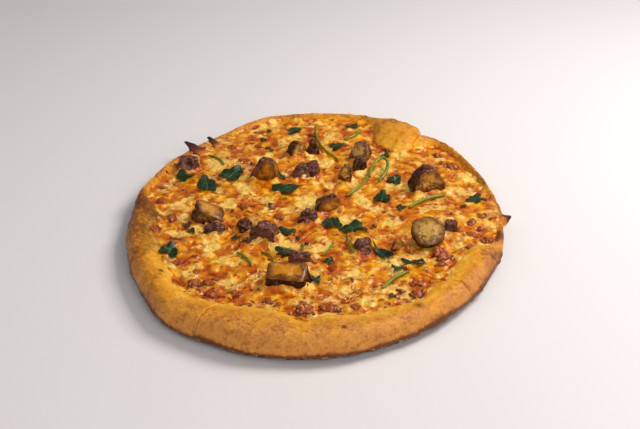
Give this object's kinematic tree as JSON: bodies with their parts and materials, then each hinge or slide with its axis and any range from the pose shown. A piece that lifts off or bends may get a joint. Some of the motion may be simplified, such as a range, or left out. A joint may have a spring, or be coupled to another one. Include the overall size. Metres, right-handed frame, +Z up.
{
  "type": "pan pizza",
  "caption": "Hand-stretched oval pizza with a thick browned rim, melted cheese, roast mushroom pieces and green herb leaves, cut across twice but whole.",
  "frame": {"origin": "middle of the pizza's box, on the plane that the pizza rests on", "axes": "+Y along the pizza's long side, away from the broad front rim; +Z up; +X to the right seen from the broad rim"},
  "size_m": [0.271, 0.3366, 0.0328],
  "materials": {
    "crust": "matte baked dough, golden with brown patches",
    "cheese": "oily melted cheese with browned blisters",
    "mushroom": "roasted, moist",
    "leaf": "wilted leaf, satin",
    "stem": "moist green stem"
  },
  "bodies": {
    "root": {"dough_crust": "crust", "cheese_layer": "cheese", "mushroom_01": "mushroom", "mushroom_02": "mushroom", "mushroom_03": "mushroom", "mushroom_04": "mushroom", "mushroom_05": "mushroom", "mushroom_06": "mushroom", "mushroom_07": "mushroom", "mushroom_08": "mushroom", "mushroom_09": "mushroom", "mushroom_10": "mushroom", "mushroom_11": "mushroom", "mushroom_12": "mushroom", "mushroom_13": "mushroom", "mushroom_14": "mushroom", "mushroom_15": "mushroom", "mushroom_16": "mushroom", "mushroom_17": "mushroom", "mushroom_18": "mushroom", "mushroom_19": "mushroom", "mushroom_20": "mushroom", "mushroom_21": "mushroom", "mushroom_22": "mushroom", "leaf_01": "leaf", "leaf_02": "leaf", "leaf_03": "leaf", "leaf_04": "leaf", "leaf_05": "leaf", "leaf_06": "leaf", "leaf_07": "leaf", "leaf_08": "leaf", "leaf_09": "leaf", "leaf_10": "leaf", "leaf_11": "leaf", "leaf_12": "leaf", "leaf_13": "leaf", "leaf_14": "leaf", "leaf_15": "leaf", "leaf_16": "leaf", "leaf_17": "leaf", "leaf_18": "leaf", "leaf_19": "leaf", "leaf_20": "leaf", "leaf_21": "leaf", "leaf_22": "leaf", "leaf_23": "leaf", "stem_01": "stem", "stem_02": "stem", "stem_03": "stem", "stem_04": "stem", "stem_05": "stem", "stem_06": "stem", "stem_07": "stem", "stem_08": "stem", "stem_09": "stem", "stem_10": "stem", "stem_11": "stem", "stem_loop": "stem"}
  },
  "joints": []
}
